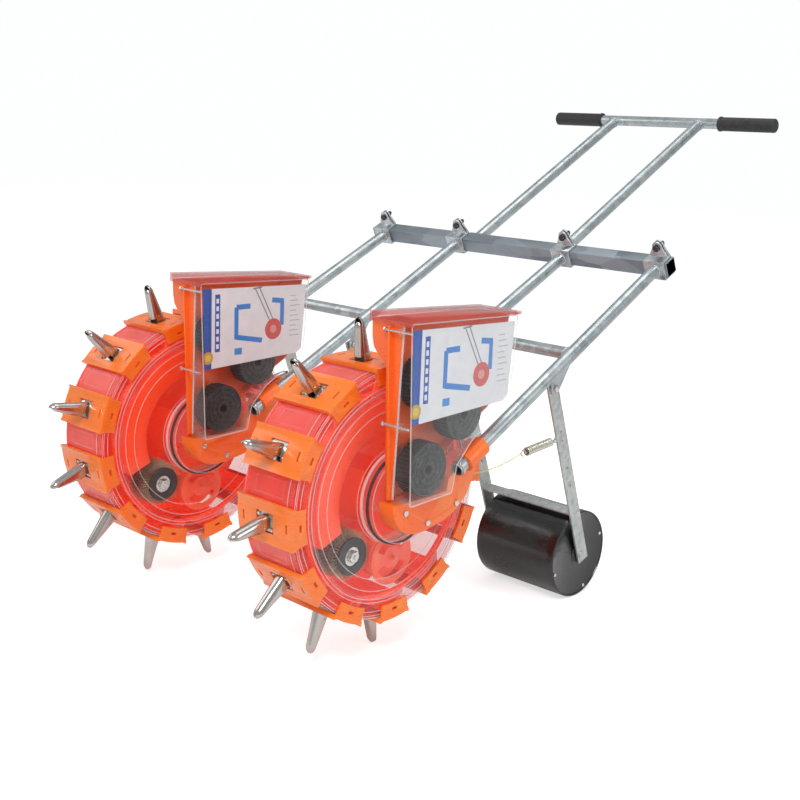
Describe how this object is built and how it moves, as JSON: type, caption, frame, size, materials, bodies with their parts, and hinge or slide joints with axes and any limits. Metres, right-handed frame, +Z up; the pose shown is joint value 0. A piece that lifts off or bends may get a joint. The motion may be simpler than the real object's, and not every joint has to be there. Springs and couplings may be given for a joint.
{
  "type": "push seeder",
  "caption": "Push seeder with spiked seed drums, clear hoppers and press rollers in rows under a clamped toolbar and a twin-tube T-handle.",
  "frame": {"origin": "on the ground plane, under the middle of the whole machine box", "axes": "+X across the rows, -Y the travel direction, +Y towards the handle, +Z up"},
  "size_m": [0.8432, 1.5653, 0.9654],
  "materials": {
    "bar_zinc": "galvanised square tube",
    "tube_zinc": "galvanised round tube",
    "grip_rubber": "smooth black rubber",
    "bracket_zinc": "zinc plated plate",
    "bolt_dark": "black oxide",
    "fastener": "zinc plated screws",
    "orange_plastic": "moulded, semi-gloss",
    "clear_plastic": "clear moulded",
    "lid_plastic": "clear, red tint",
    "red_plastic": "moulded, semi-gloss",
    "seal_rubber": "rubber ring",
    "brush": "nylon bristles on a dark hub",
    "dark_plastic": "moulded, satin",
    "card": null,
    "spike_steel": "polished stainless sheet",
    "arm_zinc": "zinc plated flat bar",
    "roller_black": "gloss black paint",
    "spring_wire": "zinc plated spring wire"
  },
  "bodies": {
    "frame": {"toolbar": "bar_zinc", "handle_frame": "tube_zinc", "handle_grips": "grip_rubber", "clamp_brackets": "bracket_zinc", "clamp_bolts": "bolt_dark", "fork_frames": "tube_zinc", "core_housings": "orange_plastic", "core_covers": "clear_plastic", "hub_seals": "seal_rubber", "brush_wheels": "brush", "hub_brackets": "orange_plastic", "hopper_backs": "orange_plastic", "hopper_tanks": "clear_plastic", "spare_rollers": "dark_plastic", "instruction_cards": "card", "bolts_and_screws": "fastener"},
    "drum_a": {"drum_shell_a": "clear_plastic", "chute_ring_a": "red_plastic", "saddles_a": "orange_plastic", "spike_bodies_a": "spike_steel", "spike_bolts_a": "fastener"},
    "meter_a": {"metering_roller_a": "red_plastic"},
    "lid_a": {"hopper_lid_a": "lid_plastic"},
    "yoke_a": {"roller_yoke_a": "arm_zinc", "arm_spring_a": "spring_wire"},
    "roller_a": {"press_roller_a": "roller_black"},
    "jaw_a_01_body": {"jaw_a_01": "spike_steel"},
    "jaw_a_02_body": {"jaw_a_02": "spike_steel"},
    "jaw_a_03_body": {"jaw_a_03": "spike_steel"},
    "jaw_a_04_body": {"jaw_a_04": "spike_steel"},
    "jaw_a_05_body": {"jaw_a_05": "spike_steel"},
    "jaw_a_06_body": {"jaw_a_06": "spike_steel"},
    "jaw_a_07_body": {"jaw_a_07": "spike_steel"},
    "jaw_a_08_body": {"jaw_a_08": "spike_steel"},
    "jaw_a_09_body": {"jaw_a_09": "spike_steel"},
    "jaw_a_10_body": {"jaw_a_10": "spike_steel"},
    "jaw_a_11_body": {"jaw_a_11": "spike_steel"},
    "jaw_a_12_body": {"jaw_a_12": "spike_steel"},
    "drum_b": {"drum_shell_b": "clear_plastic", "chute_ring_b": "red_plastic", "saddles_b": "orange_plastic", "spike_bodies_b": "spike_steel", "spike_bolts_b": "fastener"},
    "meter_b": {"metering_roller_b": "red_plastic"},
    "lid_b": {"hopper_lid_b": "lid_plastic"},
    "yoke_b": {"roller_yoke_b": "arm_zinc", "arm_spring_b": "spring_wire"},
    "roller_b": {"press_roller_b": "roller_black"},
    "jaw_b_01_body": {"jaw_b_01": "spike_steel"},
    "jaw_b_02_body": {"jaw_b_02": "spike_steel"},
    "jaw_b_03_body": {"jaw_b_03": "spike_steel"},
    "jaw_b_04_body": {"jaw_b_04": "spike_steel"},
    "jaw_b_05_body": {"jaw_b_05": "spike_steel"},
    "jaw_b_06_body": {"jaw_b_06": "spike_steel"},
    "jaw_b_07_body": {"jaw_b_07": "spike_steel"},
    "jaw_b_08_body": {"jaw_b_08": "spike_steel"},
    "jaw_b_09_body": {"jaw_b_09": "spike_steel"},
    "jaw_b_10_body": {"jaw_b_10": "spike_steel"},
    "jaw_b_11_body": {"jaw_b_11": "spike_steel"},
    "jaw_b_12_body": {"jaw_b_12": "spike_steel"}
  },
  "joints": [
    {"name": "drum_spin_a", "type": "hinge", "parent": "frame", "child": "drum_a", "pos_m": [0.26188, -0.48523, 0.29743], "axis": [1, 0, 0], "continuous": true},
    {"name": "meter_spin_a", "type": "hinge", "parent": "frame", "child": "meter_a", "pos_m": [0.26188, -0.46936, 0.17849], "axis": [1, 0, 0], "continuous": true},
    {"name": "lid_hinge_a", "type": "hinge", "parent": "frame", "child": "lid_a", "pos_m": [0.36188, -0.27523, 0.60043], "axis": [-1, 0, 0], "range_deg": [0, 110]},
    {"name": "yoke_swing_a", "type": "hinge", "parent": "frame", "child": "yoke_a", "pos_m": [0.26188, -0.12723, 0.44543], "axis": [1, 0, 0], "range_deg": [-6, 10], "stiffness_Nm_per_rad": 70, "springref_deg": -6.88, "deforming": ["arm_spring_a"]},
    {"name": "roller_spin_a", "type": "hinge", "parent": "yoke_a", "child": "roller_a", "pos_m": [0.28688, 0.00277, 0.088], "axis": [1, 0, 0], "continuous": true},
    {"name": "jaw_hinge_a_01", "type": "hinge", "parent": "drum_a", "child": "jaw_a_01_body", "pos_m": [0.26188, -0.25008, 0.31788], "axis": [1, 0, 0], "range_deg": [0, 28], "stiffness_Nm_per_rad": 0.3, "springref_deg": -14.32},
    {"name": "jaw_hinge_a_02", "type": "hinge", "parent": "drum_a", "child": "jaw_a_02_body", "pos_m": [0.26188, -0.29181, 0.43272], "axis": [1, 0, 0], "range_deg": [0, 28], "stiffness_Nm_per_rad": 0.3, "springref_deg": -14.32},
    {"name": "jaw_hinge_a_03", "type": "hinge", "parent": "drum_a", "child": "jaw_a_03_body", "pos_m": [0.26188, -0.38537, 0.5113], "axis": [1, 0, 0], "range_deg": [0, 28], "stiffness_Nm_per_rad": 0.3, "springref_deg": -14.32},
    {"name": "jaw_hinge_a_04", "type": "hinge", "parent": "drum_a", "child": "jaw_a_04_body", "pos_m": [0.26188, -0.50568, 0.53258], "axis": [1, 0, 0], "range_deg": [0, 28], "stiffness_Nm_per_rad": 0.3, "springref_deg": -14.32},
    {"name": "jaw_hinge_a_05", "type": "hinge", "parent": "drum_a", "child": "jaw_a_05_body", "pos_m": [0.26188, -0.62052, 0.49085], "axis": [1, 0, 0], "range_deg": [0, 28], "stiffness_Nm_per_rad": 0.3, "springref_deg": -14.32},
    {"name": "jaw_hinge_a_06", "type": "hinge", "parent": "drum_a", "child": "jaw_a_06_body", "pos_m": [0.26188, -0.6991, 0.39729], "axis": [1, 0, 0], "range_deg": [0, 28], "stiffness_Nm_per_rad": 0.3, "springref_deg": -14.32},
    {"name": "jaw_hinge_a_07", "type": "hinge", "parent": "drum_a", "child": "jaw_a_07_body", "pos_m": [0.26188, -0.72038, 0.27698], "axis": [1, 0, 0], "range_deg": [0, 28], "stiffness_Nm_per_rad": 0.3, "springref_deg": -14.32},
    {"name": "jaw_hinge_a_08", "type": "hinge", "parent": "drum_a", "child": "jaw_a_08_body", "pos_m": [0.26188, -0.67865, 0.16215], "axis": [1, 0, 0], "range_deg": [0, 28], "stiffness_Nm_per_rad": 0.3, "springref_deg": -14.32},
    {"name": "jaw_hinge_a_09", "type": "hinge", "parent": "drum_a", "child": "jaw_a_09_body", "pos_m": [0.26188, -0.58509, 0.08356], "axis": [1, 0, 0], "range_deg": [0, 28], "stiffness_Nm_per_rad": 0.3, "springref_deg": -14.32},
    {"name": "jaw_hinge_a_10", "type": "hinge", "parent": "drum_a", "child": "jaw_a_10_body", "pos_m": [0.26188, -0.46478, 0.06228], "axis": [1, 0, 0], "range_deg": [0, 28], "stiffness_Nm_per_rad": 0.3, "springref_deg": -14.32},
    {"name": "jaw_hinge_a_11", "type": "hinge", "parent": "drum_a", "child": "jaw_a_11_body", "pos_m": [0.26188, -0.34994, 0.10401], "axis": [1, 0, 0], "range_deg": [0, 28], "stiffness_Nm_per_rad": 0.3, "springref_deg": -14.32},
    {"name": "jaw_hinge_a_12", "type": "hinge", "parent": "drum_a", "child": "jaw_a_12_body", "pos_m": [0.26188, -0.27136, 0.19757], "axis": [1, 0, 0], "range_deg": [0, 28], "stiffness_Nm_per_rad": 0.3, "springref_deg": -14.32},
    {"name": "drum_spin_b", "type": "hinge", "parent": "frame", "child": "drum_b", "pos_m": [-0.27412, -0.48523, 0.29743], "axis": [1, 0, 0], "continuous": true},
    {"name": "meter_spin_b", "type": "hinge", "parent": "frame", "child": "meter_b", "pos_m": [-0.27412, -0.46936, 0.17849], "axis": [1, 0, 0], "continuous": true},
    {"name": "lid_hinge_b", "type": "hinge", "parent": "frame", "child": "lid_b", "pos_m": [-0.17412, -0.27523, 0.60043], "axis": [-1, 0, 0], "range_deg": [0, 110]},
    {"name": "yoke_swing_b", "type": "hinge", "parent": "frame", "child": "yoke_b", "pos_m": [-0.27412, -0.12723, 0.44543], "axis": [1, 0, 0], "range_deg": [-6, 10], "stiffness_Nm_per_rad": 70, "springref_deg": -6.88, "deforming": ["arm_spring_b"]},
    {"name": "roller_spin_b", "type": "hinge", "parent": "yoke_b", "child": "roller_b", "pos_m": [-0.24912, 0.00277, 0.088], "axis": [1, 0, 0], "continuous": true},
    {"name": "jaw_hinge_b_01", "type": "hinge", "parent": "drum_b", "child": "jaw_b_01_body", "pos_m": [-0.27412, -0.25618, 0.35442], "axis": [1, 0, 0], "range_deg": [0, 28], "stiffness_Nm_per_rad": 0.3, "springref_deg": -14.32},
    {"name": "jaw_hinge_b_02", "type": "hinge", "parent": "drum_b", "child": "jaw_b_02_body", "pos_m": [-0.27412, -0.31536, 0.46131], "axis": [1, 0, 0], "range_deg": [0, 28], "stiffness_Nm_per_rad": 0.3, "springref_deg": -14.32},
    {"name": "jaw_hinge_b_03", "type": "hinge", "parent": "drum_b", "child": "jaw_b_03_body", "pos_m": [-0.27412, -0.42006, 0.52429], "axis": [1, 0, 0], "range_deg": [0, 28], "stiffness_Nm_per_rad": 0.3, "springref_deg": -14.32},
    {"name": "jaw_hinge_b_04", "type": "hinge", "parent": "drum_b", "child": "jaw_b_04_body", "pos_m": [-0.27412, -0.54222, 0.52648], "axis": [1, 0, 0], "range_deg": [0, 28], "stiffness_Nm_per_rad": 0.3, "springref_deg": -14.32},
    {"name": "jaw_hinge_b_05", "type": "hinge", "parent": "drum_b", "child": "jaw_b_05_body", "pos_m": [-0.27412, -0.64911, 0.4673], "axis": [1, 0, 0], "range_deg": [0, 28], "stiffness_Nm_per_rad": 0.3, "springref_deg": -14.32},
    {"name": "jaw_hinge_b_06", "type": "hinge", "parent": "drum_b", "child": "jaw_b_06_body", "pos_m": [-0.27412, -0.71209, 0.36261], "axis": [1, 0, 0], "range_deg": [0, 28], "stiffness_Nm_per_rad": 0.3, "springref_deg": -14.32},
    {"name": "jaw_hinge_b_07", "type": "hinge", "parent": "drum_b", "child": "jaw_b_07_body", "pos_m": [-0.27412, -0.71428, 0.24044], "axis": [1, 0, 0], "range_deg": [0, 28], "stiffness_Nm_per_rad": 0.3, "springref_deg": -14.32},
    {"name": "jaw_hinge_b_08", "type": "hinge", "parent": "drum_b", "child": "jaw_b_08_body", "pos_m": [-0.27412, -0.6551, 0.13355], "axis": [1, 0, 0], "range_deg": [0, 28], "stiffness_Nm_per_rad": 0.3, "springref_deg": -14.32},
    {"name": "jaw_hinge_b_09", "type": "hinge", "parent": "drum_b", "child": "jaw_b_09_body", "pos_m": [-0.27412, -0.55041, 0.07057], "axis": [1, 0, 0], "range_deg": [0, 28], "stiffness_Nm_per_rad": 0.3, "springref_deg": -14.32},
    {"name": "jaw_hinge_b_10", "type": "hinge", "parent": "drum_b", "child": "jaw_b_10_body", "pos_m": [-0.27412, -0.42824, 0.06838], "axis": [1, 0, 0], "range_deg": [0, 28], "stiffness_Nm_per_rad": 0.3, "springref_deg": -14.32},
    {"name": "jaw_hinge_b_11", "type": "hinge", "parent": "drum_b", "child": "jaw_b_11_body", "pos_m": [-0.27412, -0.32135, 0.12756], "axis": [1, 0, 0], "range_deg": [0, 28], "stiffness_Nm_per_rad": 0.3, "springref_deg": -14.32},
    {"name": "jaw_hinge_b_12", "type": "hinge", "parent": "drum_b", "child": "jaw_b_12_body", "pos_m": [-0.27412, -0.25837, 0.23226], "axis": [1, 0, 0], "range_deg": [0, 28], "stiffness_Nm_per_rad": 0.3, "springref_deg": -14.32}
  ],
  "couplings": [
    {"joint": "meter_spin_a", "follows": "drum_spin_a", "ratio": 3},
    {"joint": "meter_spin_b", "follows": "drum_spin_b", "ratio": 3}
  ]
}
